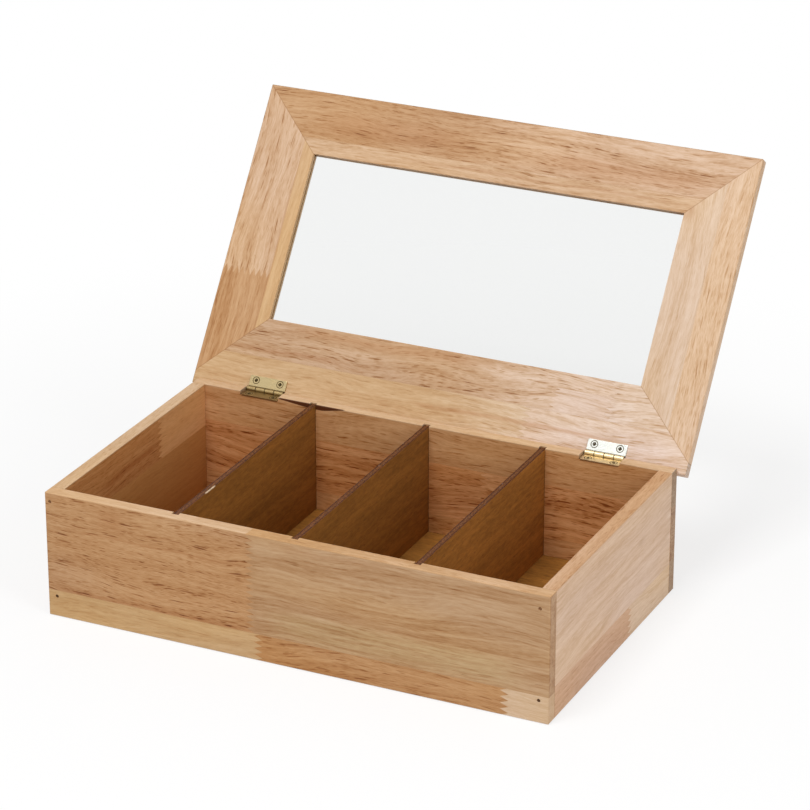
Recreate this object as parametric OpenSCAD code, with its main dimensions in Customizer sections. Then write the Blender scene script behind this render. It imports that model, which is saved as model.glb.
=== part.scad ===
// Wooden tea bag box: four compartments under a windowed lid on two butt hinges.
// The lid stands open, leaning back until its rear edge meets the back panel.
// Sizes are in millimetres. The origin is the centre of the rim that the box stands on.
// X runs along the length, Y towards the hinges and Z up.

/* [Box] */
// Length of the box over its side panels
box_length = 330; // [240:1:460]
// Depth of the box over its front and back panels
box_depth = 195; // [140:1:280]
// Height of the box walls
box_height = 82; // [55:1:140]
// Thickness of the side panels
side_thickness = 9; // [8:0.5:14]
// Thickness of the front and back panels
face_thickness = 8.5; // [8:0.5:14]
// Rounding of the outer edges of the box and the lid
edge_round = 1; // [0.5:0.1:1.5]

/* [Base] */
// Thickness of the base board
base_thickness = 4; // [3:0.5:8]
// Height of the base board above the surface that the box stands on
base_lift = 5.5; // [3:0.5:12]
// Depth of the groove that holds the base board in the walls
base_groove = 4; // [2:0.5:5]

/* [Dividers] */
// Thickness of a divider
divider_thickness = 4; // [2.5:0.5:8]
// Depth of the slots that hold a divider in the front and back panels
slot_depth = 3; // [2:0.5:5]
// Room for a divider's thickness in its slots
slot_play = 0.5; // [0.2:0.1:1]
// Depth of a divider's top edge below the rim
divider_drop = 0.5; // [0:0.5:20]

/* [Lid] */
// Thickness of the lid frame
lid_thickness = 7; // [6.5:0.5:12]
// Overhang of the lid past each side panel
side_overhang = 5.3; // [0:0.1:12]
// Overhang of the lid past the front panel
front_overhang = 6; // [0:0.5:15]
// Overhang of the lid past the back panel, which stops the open lid
rear_overhang = 2.95; // [2.5:0.05:6]
// Width of the frame beside and in front of the window
frame_width = 42; // [25:1:55]
// Strip of the rear rail that runs on behind the mitred corners
rear_strip = 8; // [1:1:20]
// Gap between the rim and the closed lid
lid_gap = 0.4; // [0.3:0.1:0.8]

/* [Window] */
// Thickness of the glass pane
pane_thickness = 2; // [1.5:0.5:3]
// Thickness of the wood between the pane and the lid's underside
pane_inset = 2.6; // [1.5:0.1:3]
// Depth of the groove that holds the pane in the frame
pane_groove = 5; // [3:0.5:10]

/* [Hinges] */
// Distance from each end of the box to the middle of its hinge
hinge_from_end = 48; // [30:1:80]
// Length of a hinge along its barrel
hinge_length = 26; // [20:1:40]
// Reach of a hinge leaf from the pin's axis
leaf_reach = 9; // [8.5:0.5:14]
// Thickness of a hinge leaf
leaf_thickness = 0.9; // [0.6:0.1:1.1]
// Diameter of the hinge barrel
barrel_diameter = 3.2; // [3:0.1:5]
// Diameter of the hinge pin
pin_diameter = 1.6; // [1:0.1:2]
// Distance of the pin's axis behind the back panel
pin_setback = 0.2; // [0:0.1:1]
// Gap between neighbouring knuckles, and from a knuckle to the wood and leaf beside it
knuckle_gap = 0.3; // [0.3:0.1:0.5]

/* [Screws and nails] */
// Distance between the two screws of a hinge leaf
screw_spacing = 17; // [10:0.5:20]
// Distance of the screws from the pin's axis
screw_reach = 6; // [5:0.5:6.5]
// Diameter of a screw's head
screw_head = 4.2; // [3:0.1:4.6]
// Diameter of a screw's shank
screw_shank = 2.2; // [1.5:0.1:2.6]
// Length of a screw with its head
screw_length = 6; // [4:0.5:6.5]
// Diameter of a nail
nail_diameter = 1.4; // [1:0.1:2]
// Diameter of a nail's head
nail_head = 2.2; // [2:0.1:3]
// Length of a nail
nail_length = 26; // [18:1:40]
// Depth of a nail's head below the wood
nail_punch = 0.5; // [0.2:0.1:1]

/* [Hidden] */
$fn = 48;

// Finishes
rubberwood = [0.80, 0.63, 0.44];
rubberwood_dark = [0.72, 0.52, 0.35];
plywood = [0.55, 0.38, 0.22];
pane_tint = [0.86, 0.93, 0.92, 0.35];
brass = [0.80, 0.68, 0.38];
steel = [0.45, 0.43, 0.42];

// Small fits
cut = 1;
board_play = 0.3;
groove_play = 0.2;
hole_play = 0.03;
screw_play = 0.05;
pin_play = 0.05;
mortise_play = 0.5;
stop_gap = 0.3;

// Inside of the box
inner_length = box_length - 2 * side_thickness;
inner_depth = box_depth - 2 * face_thickness;
floor_height = base_lift + base_thickness;

// Dividers, evenly spaced, so that all compartments are alike
divider_names = ["divider_left", "divider_middle", "divider_right"];
divider_count = len(divider_names);
compartment = (inner_length - divider_count * divider_thickness) / (divider_count + 1);
function divider_x(i) =
    (i + 1) * (compartment + divider_thickness) - divider_thickness / 2 - inner_length / 2;

// Lid, as it lies when closed
lid_length = box_length + 2 * side_overhang;
lid_depth = box_depth + front_overhang + rear_overhang;
lid_underside = box_height + lid_gap;
lid_end = lid_length / 2;
lid_front = -box_depth / 2 - front_overhang;
lid_rear = box_depth / 2 + rear_overhang;
window_end = lid_end - frame_width;
window_front = lid_front + frame_width;
window_rear = lid_rear - rear_strip - frame_width;

// Hinges: the barrel hangs under the lid and lies in a mortise in the back panel's rim
barrel_radius = barrel_diameter / 2;
pin_radius = pin_diameter / 2;
pin_y = box_depth / 2 + pin_setback;
pin_z = lid_underside - barrel_radius;
hinge_x = box_length / 2 - hinge_from_end;
mortise_length = hinge_length + 2 * mortise_play;
mortise_floor = pin_z - barrel_radius;
knuckle_count = 4;
knuckle_length = (hinge_length - (knuckle_count - 1) * knuckle_gap) / knuckle_count;
leaf_corner = 1;
pin_proud = 0.3;

// The open lid stops where the rounded lower edge of its rear side meets the back panel.
// Seen along the pin, the middle of that rounding lies stop_back behind the pin and
// stop_up above it while the lid is closed.
stop_back = rear_overhang - pin_setback - edge_round;
stop_up = barrel_radius + edge_round;
stop_reach = edge_round - pin_setback + stop_gap;
open_angle = atan2(stop_up, stop_back) + acos(stop_reach / norm([stop_back, stop_up]));

// Screws
screw_head_height = (screw_head - screw_shank) / 2;
screw_point = 1.5;
screw_tip = 0.4;
recess_length = 2.4;
recess_width = 0.6;
recess_depth = 0.8;

// Nails, driven by hand: each one's distance from the panel's end and from its long edge,
// in the order left top, left bottom, right top, right bottom
nail_from_end = [3.5, 6, 6.5, 6.5];
nail_from_edge = [6, 13.5, 9, 14.5];
nail_side = [-1, -1, 1, 1];
nail_top = [true, false, true, false];
nail_head_height = 0.6;
nail_point = 2;
nail_tip = 0.3;

// A flat rectangle with true round corners
module rounded_rectangle(w, h, r) {
    square([w - 2 * r, h], center = true);
    square([w, h - 2 * r], center = true);
    for (x = [-1, 1], y = [-1, 1])
        translate([x * (w / 2 - r), y * (h / 2 - r)])
            circle(r);
}

// A block on the XY plane with all its edges rounded
module rounded_block(x, y, z, r) {
    intersection() {
        linear_extrude(z)
            rounded_rectangle(x, y, r);
        translate([0, 0, z / 2])
            rotate([90, 0, 0])
                linear_extrude(y, center = true)
                    rounded_rectangle(x, z, r);
        translate([0, 0, z / 2])
            rotate([90, 0, 90])
                linear_extrude(x, center = true)
                    rounded_rectangle(y, z, r);
    }
}

// The outside of the four walls together
module box_outside() {
    rounded_block(box_length, box_depth, box_height, edge_round);
}

// The space that the base board has in the walls
module base_space() {
    x = inner_length + 2 * base_groove;
    y = inner_depth + 2 * base_groove;
    translate([-x / 2, -y / 2, base_lift])
        cube([x, y, base_thickness + groove_play]);
}

// The slots for the dividers, open at the rim
module divider_slots() {
    w = divider_thickness + slot_play;
    y = inner_depth + 2 * slot_depth;
    for (i = [0 : divider_count - 1])
        translate([divider_x(i) - w / 2, -y / 2, floor_height])
            cube([w, y, box_height]);
}

// Puts a piece at each nail of a face: side is -1 for the front and 1 for the back.
// The piece's own Z axis points into the wood.
module at_nails(side) {
    for (i = [0 : len(nail_side) - 1]) {
        x = nail_side[i] * (box_length / 2 - nail_from_end[i]);
        z = nail_top[i] ? box_height - nail_from_edge[i] : nail_from_edge[i];
        translate([x, side * box_depth / 2, z])
            rotate([side * 90, 0, 0])
                children();
    }
}

// One nail, its head punched below the surface
module nail(play = 0) {
    translate([0, 0, nail_punch])
        cylinder(d = nail_head + 2 * play, h = nail_head_height);
    translate([0, 0, nail_punch])
        cylinder(d = nail_diameter + 2 * play, h = nail_length - nail_point);
    translate([0, 0, nail_punch + nail_length - nail_point])
        cylinder(d1 = nail_diameter + 2 * play, d2 = nail_tip, h = nail_point);
}

// The hole that a nail fills, with the punch mark over its head
module nail_hole() {
    nail(play = hole_play);
    translate([0, 0, -cut])
        cylinder(d = nail_head + 2 * hole_play, h = cut + nail_punch + hole_play);
}

// Puts a piece at one hinge, with the pin along X through the origin: side is -1 or 1
module at_hinge(side) {
    translate([side * hinge_x, pin_y, pin_z])
        children();
}

// Swings what is modelled on the closed lid to the open lid's place
module opened() {
    translate([0, pin_y, pin_z])
        rotate([-open_angle, 0, 0])
            translate([0, -pin_y, -pin_z])
                children();
}

// A rod along X, centred on the pin's axis
module rod(r, length) {
    rotate([0, 90, 0])
        cylinder(r = r, h = length, center = true);
}

// Puts a piece at the two screws of a leaf, at the height of the leaf's inner face
module at_screws() {
    for (side = [-1, 1])
        translate([side * screw_spacing / 2, -screw_reach, leaf_thickness - barrel_radius])
            children();
}

// A countersunk screw, pointing down from the top of its head
module screw_body(play = 0) {
    shank = screw_shank + 2 * play;
    translate([0, 0, -screw_head_height])
        cylinder(d1 = shank, d2 = screw_head + 2 * play, h = screw_head_height);
    translate([0, 0, screw_point - screw_length])
        cylinder(d = shank, h = screw_length - screw_point - screw_head_height);
    translate([0, 0, -screw_length])
        cylinder(d1 = screw_tip, d2 = shank, h = screw_point);
}

// A screw with its cross recess
module screw() {
    difference() {
        screw_body();
        for (a = [0, 90])
            rotate([0, 0, 45 + a])
                translate([-recess_length / 2, -recess_width / 2, -recess_depth])
                    cube([recess_length, recess_width, recess_depth + cut]);
    }
}

// The space that a hinge takes from the rim: a mortise open at both sides, its screw holes
// and room for the barrel
module hinge_mortise() {
    translate([-mortise_length / 2, -pin_setback - face_thickness - cut, -barrel_radius])
        cube([mortise_length, face_thickness + 2 * cut, barrel_diameter + cut]);
    rod(barrel_radius + knuckle_gap, mortise_length);
    at_screws()
        screw_body(hole_play);
}

// A hinge leaf that lies with its outer face one barrel radius below the pin.
// first is the number of its first knuckle, 0 or 1, and every second one is its own.
module hinge_leaf(first) {
    plate_edge = barrel_radius + knuckle_gap;
    plate = leaf_reach - plate_edge;
    difference() {
        union() {
            translate([0, 0, -barrel_radius])
                linear_extrude(leaf_thickness) {
                    translate([0, -plate_edge - plate / 2])
                        rounded_rectangle(hinge_length, plate, leaf_corner);
                    translate([-hinge_length / 2, -plate_edge - plate / 2])
                        square([hinge_length, plate / 2]);
                }
            for (k = [first : 2 : knuckle_count - 1]) {
                x = k * (knuckle_length + knuckle_gap) - hinge_length / 2;
                translate([x, -plate_edge - plate / 2, -barrel_radius])
                    cube([knuckle_length, plate_edge + plate / 2, leaf_thickness]);
                translate([x + knuckle_length / 2, 0, 0])
                    rod(barrel_radius, knuckle_length);
            }
        }
        rod(pin_radius + pin_play, hinge_length + cut);
        at_screws()
            screw_body(screw_play);
    }
}

// The pin, with chamfered ends that stand proud of the barrel
module hinge_pin() {
    chamfer = 0.2;
    length = hinge_length + 2 * pin_proud;
    rod(pin_radius, length - 2 * chamfer);
    for (side = [-1, 1])
        translate([side * (length / 2 - chamfer), 0, 0])
            rotate([0, side * 90, 0])
                cylinder(r1 = pin_radius, r2 = pin_radius - chamfer, h = chamfer);
}

// Turns a piece of the box leaf into the same piece of the closed lid's leaf
module lid_side() {
    mirror([0, 0, 1])
        children();
}

// One of the long walls: side is -1 for the front and 1 for the back
module face_wall(side) {
    difference() {
        intersection() {
            box_outside();
            translate([-box_length / 2, side * (box_depth - face_thickness) / 2 - face_thickness / 2, 0])
                cube([box_length, face_thickness, box_height]);
        }
        base_space();
        divider_slots();
        at_nails(side)
            nail_hole();
    }
}

module front_panel() {
    color(rubberwood)
        face_wall(-1);
}

module back_panel() {
    color(rubberwood)
        difference() {
            face_wall(1);
            for (side = [-1, 1])
                at_hinge(side)
                    hinge_mortise();
        }
}

// One of the short walls, which butt against the long ones
module side_wall(side) {
    color(rubberwood)
        difference() {
            intersection() {
                box_outside();
                translate([side * (box_length - side_thickness) / 2 - side_thickness / 2, -inner_depth / 2, 0])
                    cube([side_thickness, inner_depth, box_height]);
            }
            base_space();
            for (face = [-1, 1])
                at_nails(face)
                    nail_hole();
        }
}

module left_panel() {
    side_wall(-1);
}

module right_panel() {
    side_wall(1);
}

// The base board, loose in its groove so that it can swell
module base_panel() {
    x = inner_length + 2 * (base_groove - board_play);
    y = inner_depth + 2 * (base_groove - board_play);
    color(plywood)
        translate([-x / 2, -y / 2, base_lift])
            cube([x, y, base_thickness]);
}

module divider(i) {
    y = inner_depth + 2 * (slot_depth - board_play);
    color(plywood)
        translate([divider_x(i) - divider_thickness / 2, -y / 2, floor_height])
            cube([divider_thickness, y, box_height - divider_drop - floor_height]);
}

// The groove around the pane, in the closed lid
module pane_space() {
    translate([-window_end - pane_groove, window_front - pane_groove, lid_underside + pane_inset])
        cube([
            2 * (window_end + pane_groove),
            window_rear - window_front + 2 * pane_groove,
            pane_thickness + groove_play
        ]);
}

// One member of the lid frame: outline gives its corners on the closed lid
module frame_member(outline) {
    difference() {
        intersection() {
            translate([0, (lid_front + lid_rear) / 2, lid_underside])
                rounded_block(lid_length, lid_depth, lid_thickness, edge_round);
            translate([0, 0, lid_underside - cut])
                linear_extrude(lid_thickness + 2 * cut)
                    polygon(outline);
        }
        pane_space();
    }
}

module lid_front_rail() {
    color(rubberwood)
        opened()
            frame_member([
                [-lid_end, lid_front],
                [lid_end, lid_front],
                [window_end, window_front],
                [-window_end, window_front]
            ]);
}

module lid_rear_rail() {
    color(rubberwood_dark)
        opened()
            difference() {
                frame_member([
                    [-lid_end, lid_rear],
                    [lid_end, lid_rear],
                    [lid_end, lid_rear - rear_strip],
                    [window_end, window_rear],
                    [-window_end, window_rear],
                    [-lid_end, lid_rear - rear_strip]
                ]);
                for (side = [-1, 1])
                    at_hinge(side) {
                        rod(barrel_radius + knuckle_gap, mortise_length);
                        lid_side()
                            at_screws()
                                screw_body(hole_play);
                    }
            }
}

module lid_stile(side) {
    color(rubberwood)
        opened()
            frame_member([
                [side * lid_end, lid_front],
                [side * window_end, window_front],
                [side * window_end, window_rear],
                [side * lid_end, lid_rear - rear_strip]
            ]);
}

module lid_left_stile() {
    lid_stile(-1);
}

module lid_right_stile() {
    lid_stile(1);
}

// The glass lies on the lower side of its groove
module window_pane() {
    edge = pane_groove - board_play;
    color(pane_tint)
        opened()
            translate([-window_end - edge, window_front - edge, lid_underside + pane_inset])
                cube([
                    2 * (window_end + edge),
                    window_rear - window_front + 2 * edge,
                    pane_thickness
                ]);
}

module hinge_box_leaf(side) {
    color(brass)
        at_hinge(side)
            hinge_leaf(1);
}

module hinge_lid_leaf(side) {
    color(brass)
        opened()
            at_hinge(side)
                lid_side()
                    hinge_leaf(0);
}

module hinge_barrel_pin(side) {
    color(brass)
        at_hinge(side)
            hinge_pin();
}

module hinge_box_screws(side) {
    color(brass)
        at_hinge(side)
            at_screws()
                screw();
}

module hinge_lid_screws(side) {
    color(brass)
        opened()
            at_hinge(side)
                lid_side()
                    at_screws()
                        screw();
}

module nails(side) {
    color(steel)
        at_nails(side)
            nail();
}

front_panel();
back_panel();
left_panel();
right_panel();
base_panel();
for (i = [0 : divider_count - 1])
    divider(i);
lid_front_rail();
lid_rear_rail();
lid_left_stile();
lid_right_stile();
window_pane();
hinge_box_leaf(-1);  // left_hinge_box_leaf
hinge_lid_leaf(-1);  // left_hinge_lid_leaf
hinge_barrel_pin(-1);  // left_hinge_pin
hinge_box_screws(-1);  // left_hinge_box_screws
hinge_lid_screws(-1);  // left_hinge_lid_screws
hinge_box_leaf(1);  // right_hinge_box_leaf
hinge_lid_leaf(1);  // right_hinge_lid_leaf
hinge_barrel_pin(1);  // right_hinge_pin
hinge_box_screws(1);  // right_hinge_box_screws
hinge_lid_screws(1);  // right_hinge_lid_screws
nails(-1);  // front_nails
nails(1);  // back_nails
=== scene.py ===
"""Wooden tea bag box with four compartments under a glazed lid, which stands open."""

import math
import random

import bmesh
import bpy
from mathutils import Matrix, Vector


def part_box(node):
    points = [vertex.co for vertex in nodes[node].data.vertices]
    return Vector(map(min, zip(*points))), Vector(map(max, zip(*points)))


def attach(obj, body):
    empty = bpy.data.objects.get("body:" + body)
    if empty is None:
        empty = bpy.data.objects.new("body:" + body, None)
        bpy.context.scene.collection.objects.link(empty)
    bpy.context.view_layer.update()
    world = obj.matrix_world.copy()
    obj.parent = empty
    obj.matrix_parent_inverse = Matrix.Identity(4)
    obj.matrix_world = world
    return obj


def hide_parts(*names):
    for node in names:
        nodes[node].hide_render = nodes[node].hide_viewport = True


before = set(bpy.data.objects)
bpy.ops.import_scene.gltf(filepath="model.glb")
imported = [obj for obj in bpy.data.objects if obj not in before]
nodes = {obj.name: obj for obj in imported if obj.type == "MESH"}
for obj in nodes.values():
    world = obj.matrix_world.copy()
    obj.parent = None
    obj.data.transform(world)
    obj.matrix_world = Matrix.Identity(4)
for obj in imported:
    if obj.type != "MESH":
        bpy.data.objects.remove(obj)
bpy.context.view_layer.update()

MM = 0.001

# The hinge axis and the angle by which the lid stands open, as in the CAD model
PIN = Vector((0.0, 97.7, 80.8))
OPEN = math.radians(125.509)


# Node helpers: a graph is one material's nodes, and a value is a socket or a number


class Graph:
    """The nodes of one material, with a method for each kind of node that the materials need."""

    def __init__(self, name):
        self.material = bpy.data.materials.new(name)
        self.material.use_nodes = True
        self.tree = self.material.node_tree
        self.tree.nodes.clear()
        self.output = self.tree.nodes.new("ShaderNodeOutputMaterial")

    def put(self, socket, value):
        """Links a socket to an input, or sets the input to a number or a colour."""
        if isinstance(value, bpy.types.NodeSocket):
            self.tree.links.new(value, socket)
        elif value is not None:
            if hasattr(socket.default_value, "__len__") and not hasattr(value, "__len__"):
                value = [value] * len(socket.default_value)
            elif hasattr(value, "__len__") and len(value) == 3 and len(socket.default_value) == 4:
                value = (*value, 1.0)
            socket.default_value = value

    def add(self, kind, inputs=(), **settings):
        node = self.tree.nodes.new("ShaderNode" + kind)
        for key, value in settings.items():
            setattr(node, key, value)
        for key, value in dict(inputs).items():
            self.put(node.inputs[key], value)
        return node

    def math(self, operation, *values):
        node = self.add("Math", operation=operation)
        for i, value in enumerate(values):
            self.put(node.inputs[i], value)
        return node.outputs[0]

    def sum(self, *values):
        total = values[0]
        for value in values[1:]:
            total = self.math("ADD", total, value)
        return total

    def product(self, *values):
        total = values[0]
        for value in values[1:]:
            total = self.math("MULTIPLY", total, value)
        return total

    def step(self, low, high, value, start=0.0, end=1.0):
        """A smooth step of value from start at low to end at high."""
        node = self.add("MapRange", interpolation_type="SMOOTHSTEP")
        for i, v in enumerate((value, low, high, start, end)):
            self.put(node.inputs[i], v)
        return node.outputs[0]

    def mix(self, factor, a, b):
        """Mixes two colours."""
        node = self.add("Mix", data_type="RGBA")
        self.put(node.inputs[0], factor)
        self.put(node.inputs[6], a)
        self.put(node.inputs[7], b)
        return node.outputs[2]

    def tint(self, colour, factor):
        """Multiplies a colour by a number or a colour."""
        node = self.add("VectorMath", operation="MULTIPLY")
        self.put(node.inputs[0], colour)
        self.put(node.inputs[1], factor)
        return node.outputs[0]

    def lerp(self, factor, a, b):
        """Mixes two numbers."""
        node = self.add("Mix", data_type="FLOAT")
        for i, v in enumerate((factor, a, b)):
            self.put(node.inputs[(0, 2, 3)[i]], v)
        return node.outputs[0]

    def vector(self, x, y, z):
        node = self.add("CombineXYZ")
        for i, v in enumerate((x, y, z)):
            self.put(node.inputs[i], v)
        return node.outputs[0]

    def noise(self, vector, scale=1.0, detail=2.0, roughness=0.5):
        node = self.add("TexNoise", {"Vector": vector, "Scale": scale, "Detail": detail,
                                     "Roughness": roughness, "Distortion": 0.0})
        return node.outputs["Fac"]

    def cells(self, vector):
        """The distance to the nearest cell's point and that cell's random colour."""
        node = self.add("TexVoronoi", {"Vector": vector, "Scale": 1.0}, feature="F1")
        return node.outputs["Distance"], node.outputs["Color"]

    def bump(self, height, distance):
        node = self.add("Bump", {"Height": height, "Distance": distance, "Strength": 1.0})
        return node.outputs["Normal"]

    def surface(self, **inputs):
        """Ends the material in a Principled shader with these inputs."""
        node = self.add("BsdfPrincipled", {k.replace("_", " "): v for k, v in inputs.items()})
        self.tree.links.new(node.outputs[0], self.output.inputs[0])


def along(graph, axis, origin):
    """The distance in millimetres of the shaded point from origin along axis, in the rest frame."""
    if not hasattr(graph, "place"):
        graph.place = graph.add("TexCoord").outputs["Object"]
    node = graph.add("VectorMath", operation="DOT_PRODUCT")
    graph.put(node.inputs[0], graph.place)
    graph.put(node.inputs[1], tuple(Vector(axis) / MM))
    offset = -Vector(axis).dot(Vector(origin))
    if abs(offset) < 1e-9:
        return node.outputs["Value"]
    return graph.math("ADD", node.outputs["Value"], offset)


def opened(direction):
    """A direction on the closed lid, turned to where it points on the open lid."""
    return Matrix.Rotation(-OPEN, 3, "X") @ Vector(direction)


def opened_point(point):
    """A point of the closed lid, in millimetres, moved to its place on the open lid."""
    return PIN + opened(Vector(point) - PIN)


# Mesh helpers


def new_piece(name, mesh, material, body, slot, *replaced):
    """A visible piece that rides on a body and stands in for these nodes."""
    piece = bpy.data.objects.new(name, mesh)
    bpy.context.scene.collection.objects.link(piece)
    mesh.materials.clear()
    mesh.materials.append(material)
    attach(piece, body)
    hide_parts(*replaced)
    return piece


def bake(piece):
    """Turns a piece's modifiers into its mesh."""
    bpy.context.view_layer.update()
    graph = bpy.context.evaluated_depsgraph_get()
    final = bpy.data.meshes.new_from_object(piece.evaluated_get(graph))
    piece.modifiers.clear()
    piece.data = final


def smooth_by_angle(piece, degrees=35.0):
    """Smooth shading apart from sharp edges, with the flat faces kept flat, stored in the mesh."""
    bm = bmesh.new()
    bm.from_mesh(piece.data)
    for face in bm.faces:
        face.smooth = True
    for edge in bm.edges:
        if len(edge.link_faces) == 2:
            edge.smooth = edge.calc_face_angle(0.0) < math.radians(degrees)
    bm.to_mesh(piece.data)
    bm.free()
    weigh = piece.modifiers.new("weigh", "WEIGHTED_NORMAL")
    weigh.keep_sharp = True
    weigh.weight = 100
    bake(piece)


def node_shape(node):
    """The node's own mesh with its flat faces joined, to be worked on."""
    bm = bmesh.new()
    bm.from_mesh(nodes[node].data)
    bmesh.ops.remove_doubles(bm, verts=bm.verts, dist=1e-6)
    bmesh.ops.dissolve_limit(bm, angle_limit=math.radians(1.0), verts=bm.verts, edges=bm.edges,
                             delimit={"NORMAL"})
    return bm


def to_mesh(bm, name):
    """Turns a bmesh into a mesh and frees it."""
    mesh = bpy.data.meshes.new(name)
    bm.normal_update()
    bm.to_mesh(mesh)
    bm.free()
    return mesh


def eased_board(node, material, body, slot, ease, square=Matrix.Identity(3)):
    """The node's own board with its outer arrises broken. square turns it in line with the axes."""
    bm = node_shape(node)
    places = {vertex: square @ vertex.co for vertex in bm.verts}
    limits = [(pick(place[i] for place in places.values()), i, pick)
              for i in range(3) for pick in (min, max)]

    def on(vertex):
        return {(i, pick) for limit, i, pick in limits if abs(places[vertex][i] - limit) < 0.02 * MM}

    arrises = [edge for edge in bm.edges if len(on(edge.verts[0]) & on(edge.verts[1])) > 1]
    bmesh.ops.bevel(bm, geom=arrises, offset=ease, segments=2, profile=0.6, affect="EDGES")
    piece = new_piece(node + "_board", to_mesh(bm, node + "_board"), material, body, slot, node)
    smooth_by_angle(piece, 32.0)
    return piece


# Wood

# Finger joint teeth: pitch in millimetres and steepness
TOOTH_PITCH, TOOTH_SLOPE = 4.0, 2.7


def inside(graph, value, low, high, teeth=None, soft=0.25):
    """1 where value lies between low and high. teeth is a socket that shifts both limits."""
    if teeth is not None:
        value = graph.math("SUBTRACT", value, teeth)
    parts = []
    if low is not None:
        parts.append(graph.step(low - soft, low + soft, value))
    if high is not None:
        parts.append(graph.step(high - soft, high + soft, value, 1.0, 0.0))
    return graph.product(*parts) if parts else 1.0


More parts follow.
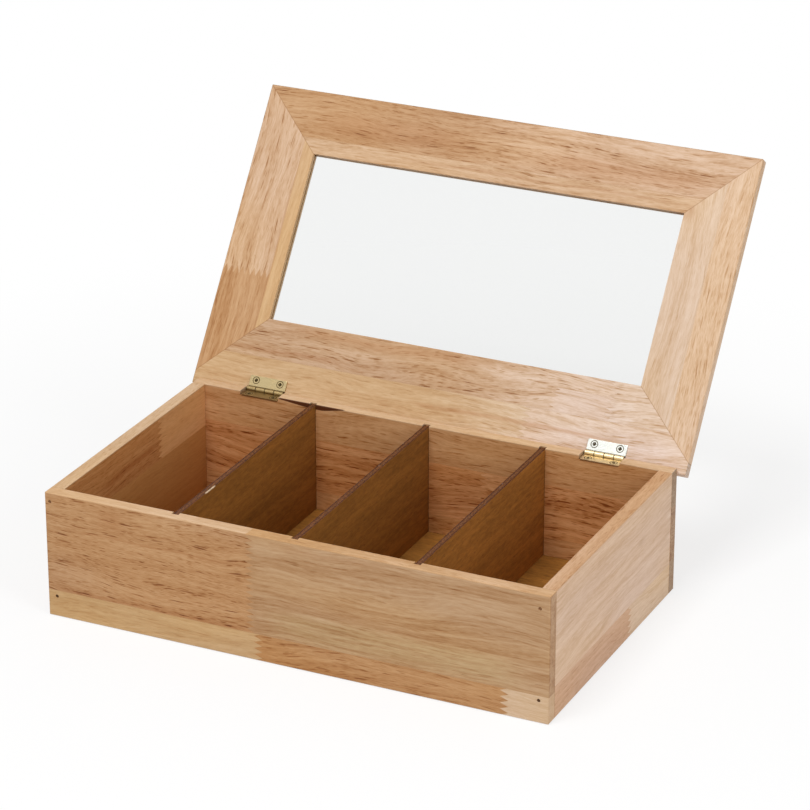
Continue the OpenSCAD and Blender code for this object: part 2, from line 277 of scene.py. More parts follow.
def wood(name, axes, origin, base, blocks=(), seed=0.0, figure=(1.0, 1.0), wear_and_shade=None, mitres=(),
         marks=(), end=(0.80, 0.82, 0.86)):
    """Rubberwood in millimetres: axes are along the grain, across the face and into the board.

    Each block is (low u, high u, low v, high v, tint, seed): a stave's stretch between finger
    joints, with its own tone and its own grain, and on the rims a stretch whose tint is a painted
    highlight. None leaves that side open, and a seventh entry sets the block's own figure, the
    strength of its pores and of its bands. Each mark is (low u, high u, low v, high v, tint,
    strength, (soft u, soft v)), a streak or a patch, and some pale marks are painted sheen, on the
    lid, and painted highlight, on the rims. end is the tint of the end grain, and the mitres are
    planes as (direction, point)."""
    g = Graph(name)
    u, v, w = (along(g, axis, origin) for axis in axes)
    # Finger joints run as a row of narrow teeth across the stave
    teeth = g.math("MULTIPLY_ADD", g.math("PINGPONG", v, TOOTH_PITCH / 2.0), TOOTH_SLOPE, -TOOTH_SLOPE)
    tint, shift, (pores, bands) = (1.0, 1.0, 1.0), seed, figure
    # Stave tones, and on the rims a painted highlight
    for u0, u1, v0, v1, colour, number, *own in blocks:
        mask = g.math("MULTIPLY", inside(g, u, u0, u1, teeth), inside(g, v, v0, v1))
        tint = g.mix(mask, tint, colour)
        shift = g.lerp(mask, shift, seed + number)
        if own:
            pores, bands = g.lerp(mask, pores, own[0][0]), g.lerp(mask, bands, own[0][1])
    su = g.math("MULTIPLY_ADD", shift, 61.7, u)
    sv = g.math("MULTIPLY_ADD", shift, 17.3, v)
    sw = g.math("MULTIPLY_ADD", shift, 29.1, w)

    def wander(length, reach):
        """How far the grain strays sideways, over this length and by about this much."""
        value = g.noise(g.vector(g.math("DIVIDE", su, length), g.math("DIVIDE", sv, length / 3.0),
                                 g.math("DIVIDE", sw, length / 3.0)), 1.0, 1.0)
        return g.math("MULTIPLY_ADD", value, 5.0 * reach, -2.5 * reach)

    waves, sweep = wander(45.0, 1.1), wander(150.0, 4.0)
    gv = g.sum(sv, sweep, waves)

    def grain(length, width, detail=2.0, rough=0.5):
        return g.noise(g.vector(g.math("DIVIDE", su, length), g.math("DIVIDE", gv, width),
                                g.math("DIVIDE", sw, width)), 1.0, detail, rough)

    def swing(value, amount, spread=0.17):
        """A noise value as a swing of this amount to either side of nothing."""
        return g.product(g.step(0.5 - spread, 0.5 + spread, value, -1.0, 1.0), amount)

    fibres = grain(6.0, 0.62, 2.0, 0.65)
    lines = grain(30.0, 1.9)
    broad = grain(150.0, 7.5)

    def dashes(length, width, share, size=0.44):
        """Short pores along the grain: one in each cell, left out in some."""
        distance, colour = g.cells(g.vector(
            g.math("DIVIDE", su, length), g.math("DIVIDE", gv, width), g.math("DIVIDE", sw, width)))
        parts = g.add("SeparateColor", {"Color": colour})
        keep = g.step(-0.04, 0.04, g.math("SUBTRACT", parts.outputs[0], share), 1.0, 0.0)
        depth = g.math("MULTIPLY_ADD", parts.outputs[1], 0.7, 0.3)
        return g.product(g.step(size * 0.5, size, distance, 1.0, 0.0), keep, depth)

    long_pores = dashes(16.0, 1.2, g.step(0.40, 0.58, lines, 0.80, 0.06))
    short_pores = dashes(6.5, 0.80, g.step(0.40, 0.60, broad, 0.75, 0.25))
    tone = g.sum(1.04, swing(fibres, g.math("MULTIPLY_ADD", pores, 0.05, 0.07)),
                 swing(lines, g.product(0.085, bands)), swing(broad, g.product(0.09, bands)),
                 g.product(long_pores, pores, -0.52), g.product(short_pores, pores, -0.38))
    # Darker grain is redder and lighter grain is paler
    shades = [g.math("POWER", g.math("MAXIMUM", tone, 0.2), power) for power in (0.60, 0.96, 1.48)]
    colour = g.tint(g.tint(base, tint), g.vector(*shades))
    # Pinker and yellower stretches
    colour = g.tint(colour, g.mix(g.step(-2.5, 2.5, sweep), (0.99, 1.005, 1.05), (1.01, 0.995, 0.94)))
    mark_v = g.math("ADD", v, waves)
    # Streaks and patches, some of them painted sheen and painted highlight
    for low_u, high_u, low_v, high_v, paint, strength, soft in marks:
        spot = g.product(inside(g, u, low_u, high_u, None, soft[0]),
                         inside(g, mark_v, low_v, high_v, None, soft[1]),
                         g.step(0.30, 0.55, lines, 0.6, 1.0))
        colour = g.tint(colour, g.mix(g.product(spot, strength), (1.0, 1.0, 1.0), paint))
    for direction, point in mitres:
        # A hairline of dark glue at a mitre
        gap = g.math("ABSOLUTE", along(g, direction, point))
        colour = g.tint(colour, g.mix(g.step(0.05, 0.40, gap), (0.74, 0.64, 0.54), (1.0, 1.0, 1.0)))
    # End grain takes up more lacquer and looks darker
    facing = g.add("VectorMath", operation="DOT_PRODUCT")
    g.put(facing.inputs[0], g.add("TexCoord").outputs["Normal"])
    g.put(facing.inputs[1], tuple(axes[0]))
    cut_end = g.step(0.6, 0.8, g.math("ABSOLUTE", facing.outputs["Value"]))
    colour = g.tint(colour, g.mix(cut_end, (1.0, 1.0, 1.0), end))
    # Edge wear, and on the back panel a painted shadow under the rim
    if wear_and_shade is not None:
        colour = g.tint(colour, wear_and_shade(g))
    height = g.math("MULTIPLY_ADD", long_pores, -0.8, g.math("MULTIPLY", fibres, 0.5))
    shine = g.sum(0.46, g.math("MULTIPLY", fibres, 0.12),
                  g.math("MULTIPLY", short_pores, 0.15))
    g.surface(Base_Color=colour, Roughness=shine, Normal=g.bump(height, 0.00008), IOR=1.45,
              Specular_IOR_Level=0.30, Coat_Weight=0.10, Coat_Roughness=0.36)
    return g.material


def arris(planes, depth=0.7, shade=0.86):
    """Wear along long edges: each edge is two planes (axis, origin) that meet in it."""
    def shaded(g):
        total = None
        for one, other in planes:
            near = [g.step(0.0, depth, g.math("ABSOLUTE", along(g, *plane)), 1.0, 0.0)
                    for plane in (one, other)]
            edge = g.math("MULTIPLY", *near)
            total = edge if total is None else g.math("MAXIMUM", total, edge)
        return g.lerp(total, 1.0, shade)
    return shaded


X, Y, Z = Vector((1, 0, 0)), Vector((0, 1, 0)), Vector((0, 0, 1))
HALF_LENGTH, HALF_DEPTH, HEIGHT = 165.0, 97.5, 82.0
FACE_WALL = 8.5
LONG_GRAIN = (X, Z, Y)
SIDE_GRAIN = (Y, Z, X)

front_base = (0.50, 0.265, 0.117)
# Above this height the rims get tints of their own; on the front, back and left rims these are a painted
# highlight of the light that falls on the top faces
RIM = HEIGHT - 0.6
front_blocks = [
    (-27.0, None, 17.5, None, (0.96, 1.03, 1.09), 3.0, (0.5, 1.5)),
    (None, -22.0, None, 17.5, (1.13, 1.31, 1.37), 7.0, (0.35, 0.8)),
    (-22.0, 137.0, None, 17.5, (0.98, 0.93, 0.80), 11.0, (1.0, 1.3)),
    (137.0, None, None, 17.5, (1.30, 1.68, 2.35), 15.0, (0.2, 0.6)),
    # The two rim tints below are a painted highlight on the top face
    (None, -31.0, RIM, None, (1.24, 1.46, 1.75), 19.0, (0.3, 0.7)),
    (-31.0, None, RIM, None, (1.06, 1.12, 1.10), 22.0, (0.6, 0.8)),
]
front_marks = [
    # A pale streak on the right of the rim top, a painted highlight
    (60.0, None, RIM + 1.0, None, (1.30, 1.50, 2.0), 1.0, (45.0, 2.0)),
    (-10.0, 140.0, 20.0, 36.0, (1.0, 1.08, 1.0), 0.8, (18.0, 4.0)),
    (0.0, 150.0, 36.4, 37.6, (1.12, 1.18, 1.26), 0.9, (25.0, 1.2)),
    (10.0, 120.0, 49.6, 50.8, (1.10, 1.16, 1.24), 0.9, (25.0, 1.2)),
    (-20.0, 165.0, 18.2, 20.0, (1.10, 1.16, 1.20), 0.9, (25.0, 1.2)),
    (-10.0, 60.0, 76.0, 79.0, (0.90, 0.82, 0.74), 0.8, (12.0, 2.0)),
    (-128.0, -112.0, 66.0, 77.0, (0.88, 0.78, 0.68), 0.8, (7.0, 3.5)),
    (-150.0, -28.0, 59.4, 60.6, (0.84, 0.73, 0.62), 0.9, (14.0, 0.7)),
    (-160.0, -30.0, 17.8, 20.4, (0.86, 0.76, 0.66), 0.9, (16.0, 1.0)),
]


def board_edges(y, ends):
    """The long arrises of a front or back panel, as pairs of planes."""
    face = (Y, (0, y, 0))
    return [(face, (Z, (0, 0, z))) for z in (0.0, HEIGHT)] + [(face, (X, (x, 0, 0))) for x in ends]


panel_edges = board_edges(-HALF_DEPTH, (-HALF_LENGTH, HALF_LENGTH))
back_edges = board_edges(HALF_DEPTH, (-HALF_LENGTH, HALF_LENGTH))
side_edges = [[((X, (side * HALF_LENGTH, 0, 0)), (Z, (0, 0, z))) for z in (0.0, HEIGHT)]
              for side in (-1, 1)]

front = wood("front_wood", LONG_GRAIN, (0, -HALF_DEPTH, 0), front_base, front_blocks,
             seed=1.0, figure=(1.5, 1.0), marks=front_marks, wear_and_shade=arris(panel_edges),
             end=(0.88, 0.83, 0.78))
back_blocks = [
    (-62.0, None, 58.0, None, (1.0, 1.0, 0.98), 5.0, (1.0, 1.2)),
    (None, 40.0, 22.0, 58.0, (0.98, 0.85, 0.75), 9.0, (1.7, 2.2)),
    (40.0, None, 22.0, 58.0, (1.06, 0.97, 0.89), 19.0, (1.7, 2.2)),
    (-20.0, None, None, 22.0, (1.03, 1.0, 0.95), 23.0, (1.2, 1.7)),
    (None, -20.0, None, 22.0, (0.98, 0.92, 0.85), 27.0, (1.2, 1.7)),
    # The rim tint is a painted highlight on the top face
    (None, None, RIM, None, (1.06, 1.34, 1.80), 33.0, (0.4, 0.7)),
]


def back_wear_and_gap_shadow(g):
    """The arrises, and a painted shadow: a dark wedge in the gap under the inner edge of the rim."""
    x, z = along(g, X, (0, 0, 0)), along(g, Z, (0, 0, 0))
    y = along(g, Y, (0, HALF_DEPTH - FACE_WALL, 0))
    reach = g.math("MINIMUM", g.step(-112.0, -75.0, x, 0.3, 3.2), g.step(-76.0, -52.0, x, 3.4, 0.0))
    inside_wedge = g.math("SUBTRACT", reach, g.math("SUBTRACT", HEIGHT, z))
    # A painted shadow: a dark wedge on the inner face just under the rim
    edge_patch = g.product(g.step(-0.15, 0.35, inside_wedge), g.step(0.5, 1.0, y, 1.0, 0.0),
                     g.step(-104.0, -102.0, x), g.step(0.2, 0.5, reach))
    return g.tint(g.mix(edge_patch, (1.0, 1.0, 1.0), (0.15, 0.07, 0.035)), arris(back_edges)(g))


back = wood("back_wood", LONG_GRAIN, (0, HALF_DEPTH, 0), (0.60, 0.308, 0.128), back_blocks,
            seed=31.0, wear_and_shade=back_wear_and_gap_shadow, end=(0.57, 0.69, 0.93))
left_blocks = [
    (None, None, None, 53.5, (0.99, 1.03, 0.95), 8.0, (0.15, 0.6)),
    (29.0, None, 53.5, None, (1.27, 1.48, 1.75), 13.0, (0.3, 0.6)),
    # The rim tint is a painted highlight on the top face
    (None, None, RIM, None, (1.13, 1.62, 2.6), 17.0, (0.5, 0.7)),
]
left_marks = [
    (-40.0, 24.0, 61.5, 65.5, (0.74, 0.58, 0.46), 0.9, (16.0, 1.4)),
    (-60.0, 20.0, 55.5, 57.5, (0.86, 0.76, 0.66), 0.8, (16.0, 1.2)),
    (-50.0, 22.0, 71.0, 72.5, (0.86, 0.76, 0.66), 0.8, (16.0, 0.9)),
    (-60.0, 10.0, 76.5, 77.5, (0.86, 0.76, 0.66), 0.8, (16.0, 0.7)),
]
left = wood("left_wood", SIDE_GRAIN, (-HALF_LENGTH, 0, 0), (0.53, 0.235, 0.078), left_blocks,
            seed=53.0, marks=left_marks, wear_and_shade=arris(side_edges[0]))
right_blocks = [
    (None, 25.0, None, 21.0, (0.90, 0.78, 0.68), 6.0, (0.4, 0.8)),
    (25.0, None, None, 21.0, (1.0, 1.0, 0.92), 10.0, (0.4, 0.8)),
    (None, None, RIM, None, (0.84, 0.73, 0.60), 17.0, (0.8, 0.8)),
]
right_marks = [
    (-80.0, 85.0, 38.5, 40.0, (1.05, 1.08, 1.12), 0.9, (25.0, 1.2)),
    (-85.0, 20.0, 31.0, 32.5, (1.05, 1.08, 1.12), 0.9, (25.0, 1.2)),
    (36.0, 46.0, 53.0, 59.0, (0.88, 0.84, 0.80), 0.9, (4.0, 2.5)),
    (-30.0, 85.0, 41.5, 44.0, (0.93, 0.89, 0.85), 0.8, (20.0, 1.2)),
]
# The right panel's pale base colour holds a painted sheen, a whitish gloss over the same wood as the front
right = wood("right_wood", SIDE_GRAIN, (HALF_LENGTH, 0, 0), (0.66, 0.440, 0.288), right_blocks,
             seed=71.0, figure=(0.15, 0.9), marks=right_marks, wear_and_shade=arris(side_edges[1]))
EASE = 0.5 * MM
for node, material in (("front_panel", front), ("back_panel", back), ("left_panel", left),
                       ("right_panel", right)):
    eased_board(node, material, "box", "box_wood", EASE)

# The lid's wood, in the closed lid's own axes
LID_X, LID_Y, LID_Z = opened(X), opened(Y), opened(Z)
LID_BOTTOM, LID_THICKNESS = 82.4, 7.0
LID_ORIGIN = opened_point((0.0, 0.0, LID_BOTTOM))
RAIL_GRAIN = (LID_X, LID_Y, LID_Z)
STILE_GRAIN = (LID_Y, LID_X, LID_Z)
lid_end, lid_front, lid_rear, rear_strip, frame_width = 170.3, -103.5, 100.45, 8.0, 42.0
window_end, window_front = lid_end - frame_width, lid_front + frame_width
window_rear = lid_rear - rear_strip - frame_width


def lid_edge(axis, x, y, z):
    """A plane of the lid, as a direction and a point, with z from its closed underside."""
    return axis, opened_point((x, y, LID_BOTTOM + z))


def mitre(side, front_side):
    """The plane of one mitre of the lid, as a direction and a point."""
    y, slope = (window_front, 1.0) if front_side else (window_rear, -1.0)
    direction = opened(Vector((side, slope, 0.0)).normalized())
    return direction, opened_point((side * window_end, y, LID_BOTTOM))


lid_edges = []
for z in (0.0, LID_THICKNESS):
    for side in (-1, 1):
        lid_edges.append((lid_edge(LID_X, side * lid_end, 0, 0), lid_edge(LID_Z, 0, 0, z)))
    for y in (lid_front, lid_rear):
        lid_edges.append((lid_edge(LID_Y, 0, y, 0), lid_edge(LID_Z, 0, 0, z)))
lid_wear = arris(lid_edges, 0.9, 0.80)

lid_looks = {
    "lid_front_rail": dict(axes=RAIL_GRAIN, base=(0.49, 0.275, 0.133), seed=101.0, blocks=[
        (None, None, -72.0, None, (1.16, 1.28, 1.45), 9.0, (0.8, 1.3)),
    # The pale mark on the right half of the outer band is a painted sheen
    ], marks=[(-8.0, None, None, -72.0, (1.19, 1.33, 1.60), 1.0, (32.0, 1.0)),
              (-125.0, -30.0, -90.0, -77.0, (0.90, 0.80, 0.70), 0.9, (26.0, 5.0)),
              (30.0, 140.0, -88.0, -75.0, (0.88, 0.77, 0.67), 0.9, (24.0, 5.0)),
              (-60.0, 125.0, -68.0, -66.5, (0.86, 0.76, 0.68), 0.8, (20.0, 0.9))],
        mitres=[mitre(-1, True), mitre(1, True)], figure=(1.1, 1.2)),
    "lid_rear_rail": dict(axes=RAIL_GRAIN, base=(0.535, 0.325, 0.178), seed=131.0, blocks=[
        (None, None, 76.0, None, (1.06, 1.10, 1.05), 5.0, (0.45, 1.0)),
        (75.0, 112.0, 61.0, 76.0, (1.08, 1.10, 1.10), 9.0, (0.4, 0.8)),
        (112.0, None, 50.0, 76.0, (1.05, 1.10, 1.16), 14.0, (0.8, 1.0)),
        (60.0, None, 76.0, None, (1.02, 1.03, 1.04), 17.0, (0.8, 1.0)),
    # The pale mark on the right part of the rail is a painted sheen
    ], marks=[(35.0, None, None, None, (1.25, 1.48, 2.0), 1.0, (55.0, 1.0)),
              (-14.0, 125.0, 85.6, 88.2, (0.84, 0.71, 0.60), 0.9, (9.0, 0.9)),
              (-110.0, 20.0, 52.0, 58.0, (0.90, 0.80, 0.70), 0.9, (20.0, 2.5)),
              (-150.0, -70.0, 70.0, 73.0, (0.88, 0.78, 0.70), 0.9, (18.0, 1.5))],
        mitres=[mitre(-1, False), mitre(1, False)], figure=(1.2, 1.1)),
    "lid_left_stile": dict(axes=STILE_GRAIN, base=(0.60, 0.375, 0.215), seed=151.0, blocks=[
        (None, None, -136.5, None, (1.02, 1.02, 0.90), 6.0, (0.12, 0.7)),
        (22.0, None, None, -136.5, (0.855, 0.73, 0.55), 12.0, (0.7, 1.4)),
    ], marks=[(-62.0, 62.0, -137.0, -136.0, (0.82, 0.70, 0.60), 0.8, (4.0, 0.5))],
        mitres=[mitre(-1, True), mitre(-1, False)], figure=(0.9, 1.0)),
    # The right stile's pale base colour holds a painted sheen
    "lid_right_stile": dict(axes=STILE_GRAIN, base=(0.65, 0.455, 0.300), seed=173.0, blocks=[
        (None, None, 152.0, None, (1.02, 1.0, 1.0), 7.0, (0.7, 0.7)),
    ], marks=[(-70.0, -58.0, 127.0, 134.0, (0.80, 0.66, 0.54), 0.7, (3.0, 1.2))],
        mitres=[mitre(1, True), mitre(1, False)], figure=(0.28, 0.8)),
}
for node, look in lid_looks.items():
    material = wood(node + "_wood", origin=LID_ORIGIN, wear_and_shade=lid_wear, **look)
    eased_board(node, material, "lid", "lid_wood", EASE, Matrix.Rotation(OPEN, 3, "X"))


# Plywood


def plywood(name, axes, origin, base, thickness, seed, edge_patch=None, edge=(0.076, 0.0225, 0.006)):
    """Thin plywood: axes are along the face grain, up the face and through the thickness."""
    g = Graph(name)
    u, v, w = (along(g, axis, origin) for axis in axes)
    su = g.math("ADD", u, seed * 37.1)
    sv = g.math("ADD", v, seed * 11.9)

    def grain(length, width, detail=2.0, rough=0.5):
        return g.noise(g.vector(g.math("DIVIDE", su, length), g.math("DIVIDE", sv, width),
                                g.math("DIVIDE", w, width)), 1.0, detail, rough)

    bands, lines, fibres = grain(150.0, 16.0), grain(50.0, 3.0, 3.0, 0.6), grain(9.0, 0.4, 2.0, 0.6)
    distance, colour = g.cells(g.vector(g.math("DIVIDE", su, 6.0), g.math("DIVIDE", sv, 0.7), w))
    chance = g.add("SeparateColor", {"Color": colour}).outputs[0]
    pits = g.product(g.step(0.14, 0.32, distance, 1.0, 0.0), g.step(0.5, 0.56, chance, 1.0, 0.0))
    mottle = grain(7.0, 2.2, 3.0, 0.65)
    tone = g.sum(1.0, g.step(0.32, 0.68, bands, -0.10, 0.10), g.step(0.34, 0.66, lines, -0.10, 0.10),
                 g.step(0.34, 0.66, fibres, -0.10, 0.10), g.step(0.34, 0.66, mottle, -0.12, 0.12))
    face = g.tint(base, tone)
    face = g.tint(face, g.mix(g.product(pits, 0.55), (1.0, 1.0, 1.0), (0.5, 0.4, 0.35)))
    # The sawn edge shows the plies as lines of lighter and darker end grain
    across = g.add("VectorMath", operation="DOT_PRODUCT")
    g.put(across.inputs[0], g.add("TexCoord").outputs["Normal"])
    g.put(across.inputs[1], tuple(axes[2]))
    on_edge = g.step(0.55, 0.8, g.math("ABSOLUTE", across.outputs["Value"]), 1.0, 0.0)
    specks = g.noise(g.vector(g.math("DIVIDE", su, 1.6), g.math("DIVIDE", sv, 1.1),
                              g.math("DIVIDE", w, 0.5)), 1.0, 3.0, 0.7)
    core = g.step(thickness * 0.14, thickness * 0.30, g.math("ABSOLUTE", w), 1.0, 0.0)
    edge_colour = g.mix(core, edge, (edge[0] * 1.6, edge[1] * 1.9, edge[2] * 2.2))
    edge_colour = g.tint(edge_colour, g.step(0.36, 0.66, specks, 0.45, 1.9))
    colour = g.mix(on_edge, face, edge_colour)
    if edge_patch is not None:
        # A fresh pale chip on the top edge, between two distances along the board
        low, high = edge_patch
        bare = g.product(inside(g, u, low, high, None, 0.6),
                         inside(g, v, 80.9, None, None, 0.15), inside(g, w, 1.25, None, None, 0.15),
                         g.step(0.3, 0.5, specks))
        colour = g.mix(bare, colour, (0.72, 0.55, 0.37))
    height = g.sum(g.math("MULTIPLY", fibres, 0.4), g.math("MULTIPLY", pits, -0.7),
                   g.product(on_edge, specks, 1.6))
    g.surface(Base_Color=colour, Roughness=g.math("MULTIPLY_ADD", fibres, 0.14, 0.5),
              Normal=g.bump(height, 0.0001), IOR=1.45, Specular_IOR_Level=0.15)
    return g.material


def board(name, low, high, ease, along_axis, cut_top=None, cuts=48, seed=1):
    """A sawn board between two corners: eased arrises and a top edge that the saw left uneven."""
    low, high = Vector(low), Vector(high)
    bm = bmesh.new()
    bmesh.ops.create_cube(bm, size=1.0)
    size = high - low
    bmesh.ops.transform(bm, matrix=Matrix.Translation((low + high) / 2) @ Matrix.Diagonal((*size, 1.0)),
                        verts=bm.verts)
    bmesh.ops.bevel(bm, geom=list(bm.edges), offset=ease, segments=2, profile=0.6, affect="EDGES")
    span = [edge for edge in bm.edges
            if abs((edge.verts[0].co - edge.verts[1].co)[along_axis]) > size[along_axis] * 0.9]
    bmesh.ops.subdivide_edges(bm, edges=span, cuts=cuts, use_grid_fill=True)
    if cut_top:
        rng = random.Random(seed)
        waves = [(rng.uniform(0.4, 1.0), rng.uniform(0.02, 0.25), rng.uniform(0, 6.28)) for _ in range(6)]
        for vertex in bm.verts:
            if vertex.co.z > high.z - ease * 1.05:
                place = vertex.co[along_axis] / MM
                side = 0.7 if vertex.co.x > (low.x + high.x) / 2 else -0.4
                drop = sum(a * math.sin(f * place + p + side) for a, f, p in waves) / 6
                vertex.co.z -= cut_top * (0.5 + 0.5 * drop)
    return to_mesh(bm, name)


divider_base = (0.293, 0.121, 0.0245)
for number, name in enumerate(("divider_left", "divider_middle", "divider_right")):
    low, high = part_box(name)
    middle = (low.x + high.x) / 2 / MM
    ply = plywood(name + "_plywood", (Y, Z, X), (middle, 0, 0),
                  tuple(c * (1.0, 0.96, 1.15)[number] for c in divider_base), 4.0, 3.0 + number,
                  edge_patch=(-57.0, -45.0) if number == 0 else None)
    mesh = board(name + "_board", low, high, 0.35 * MM, 1, cut_top=0.25 * MM, seed=number + 3)
    smooth_by_angle(new_piece(name + "_board", mesh, ply, "box", "divider_plywood", name))

low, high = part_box("base_panel")
base_ply = plywood("base_plywood", (X, Y, Z), (0, 0, 7.5), (0.35, 0.155, 0.032), 4.0, 9.0)
smooth_by_angle(new_piece("base_board", board("base_board", low, high, 0.3 * MM, 0), base_ply,
                          "box", "base_plywood", "base_panel"))


# Metal

# BARREL is the barrel's radius, and SCREW_REACH the screws' distance from the hinge axis
HINGE_LENGTH, BARREL, SCREW_SPACING, SCREW_REACH, SCREW_HEAD = 26.0, 1.6, 17.0, 6.0, 4.2
KNUCKLE = HINGE_LENGTH / 4.0


def brass(name, base, golden, rough, axes, origin, rings=False, recess=False):
    """Rolled brass: fine rolling lines, a little tarnish, and grime with painted shade in every seam.

    golden is the tone of the barrel, base that of the plate. rings adds grime and painted shade
    round the screw heads, recess paints shade into the crosses in them and round the rims of their heads."""
    g = Graph(name)
    u, v, w = (along(g, axis, origin) for axis in axes)
    lines = g.noise(g.vector(g.math("DIVIDE", u, 4.0), g.math("DIVIDE", v, 0.09),
                             g.math("DIVIDE", w, 0.09)), 1.0, 3.0, 0.6)
    cloud = g.noise(g.vector(u, v, w), 0.35, 3.0, 0.55)
    stain = g.step(0.45, 0.75, cloud)
    colour = g.mix(g.product(stain, 0.3), base, tuple(c * k for c, k in zip(base, (0.70, 0.62, 0.50))))
    colour = g.tint(colour, g.step(0.2, 0.8, lines, 0.94, 1.04))
    # The knuckles meet at a quarter, half and three quarters of the hinge
    seam = g.math("PINGPONG", u, KNUCKLE / 2.0)
    around = g.math("SQRT", g.sum(g.math("POWER", v, 2.0), g.math("POWER", w, 2.0)))
    barrel = g.step(BARREL, BARREL + 0.25, around, 1.0, 0.0)
    colour = g.mix(barrel, colour, golden)
    # Grime and painted shade in the seams between the knuckles and along the root of the barrel
    seams = g.product(g.step(0.12, 0.42, seam, 1.0, 0.0), barrel)
    root = g.product(g.step(BARREL + 0.05, BARREL + 0.15, around),
                     g.step(BARREL + 0.45, BARREL + 0.85, around, 1.0, 0.0))
    grime_and_shade = g.math("MAXIMUM", seams, root)
    if rings or recess:
        # Distance from the nearer screw's axis
        across = g.math("SUBTRACT", g.math("ABSOLUTE", u), SCREW_SPACING / 2.0)
        reach = g.math("ADD", v, SCREW_REACH)
        ring = g.math("SQRT", g.sum(g.math("POWER", across, 2.0), g.math("POWER", reach, 2.0)))
        if rings:
            edge = g.step(SCREW_HEAD / 2.0 + 0.15, SCREW_HEAD / 2.0 + 0.6, ring, 1.0, 0.0)
            grime_and_shade = g.math("MAXIMUM", grime_and_shade, edge)
        else:
            # The recess is a cross, with painted shade inside it and a painted dark ring just inside the
            # head's rim
            arm = g.math("MINIMUM", g.math("ABSOLUTE", across), g.math("ABSOLUTE", reach))
            cross = g.product(g.step(0.36, 0.56, arm, 1.0, 0.0), g.step(1.2, 1.4, ring, 1.0, 0.0))
            edge = g.step(SCREW_HEAD / 2.0 - 0.3, SCREW_HEAD / 2.0 - 0.05, ring)
            grime_and_shade = g.math("MAXIMUM", cross, edge)
    # Grime and painted shade darken the seams, the barrel's root and the screws
    colour = g.mix(g.product(grime_and_shade, 0.95), colour, (0.075, 0.050, 0.020))
    g.surface(Base_Color=colour, Metallic=1.0,
              Roughness=g.sum(rough, g.math("MULTIPLY", lines, 0.12), g.math("MULTIPLY", stain, 0.12),
                              g.math("MULTIPLY", grime_and_shade, 0.3)),
              Normal=g.bump(g.math("MULTIPLY_ADD", lines, 0.5, g.math("MULTIPLY", cloud, 0.5)), 0.00004))
    return g.material


def eased_copy(node, name, material, body, slot, width, segments=2, angle=28.0):
    """The node's own shape with its sharp edges broken, as pressed or turned metal has them."""
    mesh = to_mesh(node_shape(node), name)
    piece = new_piece(name, mesh, material, body, slot, node)
    bevel = piece.modifiers.new("ease", "BEVEL")
    bevel.width = width
    bevel.segments = segments
    bevel.limit_method = "ANGLE"
    bevel.angle_limit = math.radians(angle)
    bevel.use_clamp_overlap = True
    bake(piece)
    smooth_by_angle(piece, 32.0)
    return piece


# The lid leaf's and the barrel's tones: the right hinge is in a glare
leaf_tones = {"left": ((0.46, 0.36, 0.19), (0.36, 0.26, 0.12)),
              "right": ((0.585, 0.595, 0.555), (0.80, 0.64, 0.38))}
for side in ("left", "right"):
    sign = -1 if side == "left" else 1
    hinge = (sign * 117.0, PIN.y, PIN.z)
    bright, golden = leaf_tones[side]
    looks = {"box": ((X, Y, Z), golden), "lid": ((X, LID_Y, LID_Z), bright)}
    leaf_brass = {body: brass(f"{side}_{body}_leaf_brass", tone, golden, 0.26, axes, hinge, rings=True)
                  for body, (axes, tone) in looks.items()}
    screw_brass = {body: brass(f"{side}_{body}_screw_brass", tone, golden, 0.30, axes, hinge, recess=True)
                   for body, (axes, tone) in looks.items()}
    eased_copy(f"{side}_hinge_pin", f"{side}_pin_eased", leaf_brass["box"], "box", "hinge_brass",
               0.05 * MM)
    for body in ("box", "lid"):
        eased_copy(f"{side}_hinge_{body}_leaf", f"{side}_{body}_leaf_eased", leaf_brass[body], body,
                   "hinge_brass", 0.09 * MM)
        eased_copy(f"{side}_hinge_{body}_screws", f"{side}_{body}_screws_eased", screw_brass[body], body,
                   "screw_brass", 0.05 * MM, 1)


def nail_steel():
    """Rusty nail heads, filled over with brown wax near the rim."""
    g = Graph("nail_steel_look")
    u, v, w = (along(g, axis, (0, 0, 0)) for axis in (X, Y, Z))
    rust = g.noise(g.vector(u, v, w), 1.6, 4.0, 0.6)
    bare = g.mix(g.step(0.35, 0.7, rust), (0.085, 0.045, 0.022), (0.15, 0.070, 0.030))
    filled = g.mix(g.step(0.35, 0.7, rust), (0.24, 0.115, 0.050), (0.34, 0.175, 0.080))
    upper = g.step(45.0, 55.0, w)
    g.surface(Base_Color=g.mix(upper, bare, filled), Metallic=0.2,
              Roughness=g.math("MULTIPLY_ADD", rust, 0.3, 0.5), Normal=g.bump(rust, 0.00008),
              Specular_IOR_Level=0.2)
    return g.material


steel = nail_steel()
for name in ("front_nails", "back_nails"):
    nodes[name].data.materials.clear()
    nodes[name].data.materials.append(steel)


# Glass


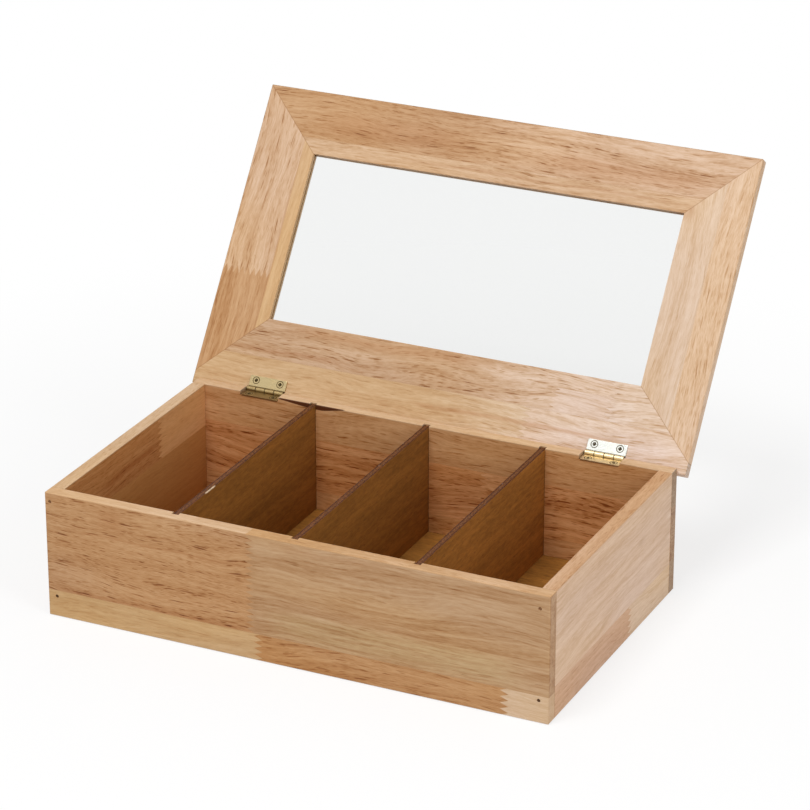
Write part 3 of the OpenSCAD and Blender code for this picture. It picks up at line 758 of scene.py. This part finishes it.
def glass():
    """Clear glass with faint smears and dust, which lets lamp light through without bending it."""
    g = Graph("pane_glass")
    u, v, w = (along(g, axis, LID_ORIGIN) for axis in RAIL_GRAIN)
    smear = g.noise(g.vector(g.math("DIVIDE", u, 60.0), g.math("DIVIDE", v, 25.0), w), 1.0, 3.0, 0.6)
    dust = g.noise(g.vector(u, v, w), 2.2, 2.0, 0.7)
    rough = g.sum(0.0, g.step(0.45, 0.8, smear, 0.0, 0.03), g.step(0.72, 0.8, dust, 0.0, 0.05))
    g.surface(Base_Color=g.mix(smear, (0.895, 0.90, 0.895), (0.88, 0.888, 0.884)), Roughness=rough,
              IOR=1.45, Transmission_Weight=1.0)
    shader = g.output.inputs[0].links[0].from_socket
    clear = g.add("BsdfTransparent", {"Color": (0.90, 0.91, 0.905, 1.0)})
    both = g.add("MixShader")
    path = g.add("LightPath")
    g.put(both.inputs[0], g.math("MAXIMUM", path.outputs["Is Shadow Ray"], path.outputs["Is Diffuse Ray"]))
    g.tree.links.new(shader, both.inputs[1])
    g.tree.links.new(clear.outputs[0], both.inputs[2])
    g.tree.links.new(both.outputs[0], g.output.inputs[0])
    return g.material


def pane():
    """The glass with its seamed edges, modelled on the closed lid and swung open."""
    edge, bottom, top = 4.7, 85.0, 87.0
    low = Vector((-window_end - edge, window_front - edge, bottom)) * MM
    high = Vector((window_end + edge, window_rear + edge, top)) * MM
    mesh = board("window_glass", low, high, 0.25 * MM, 0, cuts=1)
    swing = Matrix.Rotation(-OPEN, 4, "X")
    mesh.transform(Matrix.Translation(PIN * MM) @ swing @ Matrix.Translation(-PIN * MM))
    return mesh


smooth_by_angle(new_piece("window_glass", pane(), glass(), "lid", "window_glass", "window_pane"))


# Floor, light and camera


def floor():
    """The white floor under the box, which keeps its shadow."""
    bm = bmesh.new()
    bmesh.ops.create_grid(bm, x_segments=8, y_segments=8, size=6.0)
    mesh = bpy.data.meshes.new("floor")
    bm.to_mesh(mesh)
    bm.free()
    piece = bpy.data.objects.new("floor", mesh)
    bpy.context.scene.collection.objects.link(piece)
    g = Graph("floor_white")
    path = g.add("LightPath")
    seen = g.math("MAXIMUM", path.outputs["Is Camera Ray"], path.outputs["Is Glossy Ray"])
    seen = g.math("MAXIMUM", seen, path.outputs["Is Transmission Ray"])
    plain = g.add("BsdfDiffuse", {"Color": g.mix(seen, (0.80, 0.80, 0.80), (0.94, 0.94, 0.94))})
    white = g.add("Emission", {"Color": (1.0, 1.0, 1.0, 1.0), "Strength": 1.0})
    # Seen from the camera, the floor is mostly backdrop white, and wholly so far from the box
    near, beyond, white_share = 260.0, 620.0, 0.72
    x, y = along(g, X, (0, 0, 0)), along(g, Y, (0, 0, 0))
    radius = g.math("SQRT", g.sum(g.math("POWER", x, 2.0), g.math("POWER", y, 2.0)))
    far = g.step(near, beyond, radius, white_share, 1.0)
    both = g.add("MixShader")
    g.put(both.inputs[0], g.product(far, seen))
    g.tree.links.new(plain.outputs[0], both.inputs[1])
    g.tree.links.new(white.outputs[0], both.inputs[2])
    g.tree.links.new(both.outputs[0], g.output.inputs[0])
    mesh.materials.append(g.material)
    piece.location.z = -0.0002


floor()

# The world lights the box with a dim white and shows itself as full white
AMBIENT, BACKDROP = 0.44, 1.0
world = bpy.data.worlds.new("studio")
bpy.context.scene.world = world
world.use_nodes = True
tree = world.node_tree
tree.nodes.clear()
path = tree.nodes.new("ShaderNodeLightPath")
seen = path.outputs["Is Camera Ray"]
for kind in ("Is Glossy Ray", "Is Transmission Ray"):
    either = tree.nodes.new("ShaderNodeMath")
    either.operation = "MAXIMUM"
    tree.links.new(seen, either.inputs[0])
    tree.links.new(path.outputs[kind], either.inputs[1])
    seen = either.outputs[0]
strength = tree.nodes.new("ShaderNodeMapRange")
tree.links.new(seen, strength.inputs[0])
strength.inputs[3].default_value = AMBIENT
strength.inputs[4].default_value = BACKDROP
sky = tree.nodes.new("ShaderNodeBackground")
sky.inputs[0].default_value = (1.0, 1.0, 1.0, 1.0)
tree.links.new(strength.outputs[0], sky.inputs[1])
out = tree.nodes.new("ShaderNodeOutputWorld")
tree.links.new(sky.outputs[0], out.inputs[0])


def lamp(name, place, target, size, power):
    """A soft rectangular lamp that looks at target."""
    light = bpy.data.lights.new(name, "AREA")
    light.shape = "RECTANGLE"
    light.size, light.size_y = size
    light.energy = power
    piece = bpy.data.objects.new(name, light)
    bpy.context.scene.collection.objects.link(piece)
    piece.location = place
    aim = Vector(target) - Vector(place)
    piece.rotation_euler = aim.to_track_quat("-Z", "Y").to_euler()


lamp("key", (-0.15, -0.95, 2.3), (0, 0, 0.08), (0.9, 0.9), 32.0)
lamp("side", (2.2, -0.9, 1.3), (0, 0, 0.05), (1.0, 1.4), 18.0)

camera_data = bpy.data.cameras.new("camera")
camera = bpy.data.objects.new("camera", camera_data)
bpy.context.scene.collection.objects.link(camera)
camera_data.sensor_fit = "HORIZONTAL"
camera_data.sensor_width = 36.0
camera_data.lens = 161.81
camera_data.clip_start = 0.05
camera_data.clip_end = 60.0
# The directions of right, down and forward in the photograph, and the place it was taken from
camera_place = Vector((877.49, -1795.48, 994.94))
right_way = Vector((0.90383, 0.42789, 0.00043))
down_way = Vector((0.17015, -0.35849, -0.91790))
forward_way = Vector((-0.39261, 0.82970, -0.39682))
turn = Matrix((right_way, -down_way, -forward_way)).transposed().to_4x4()
camera.matrix_world = Matrix.Translation(camera_place * MM) @ turn
bpy.context.scene.camera = camera

bpy.context.scene.view_settings.view_transform = "Standard"
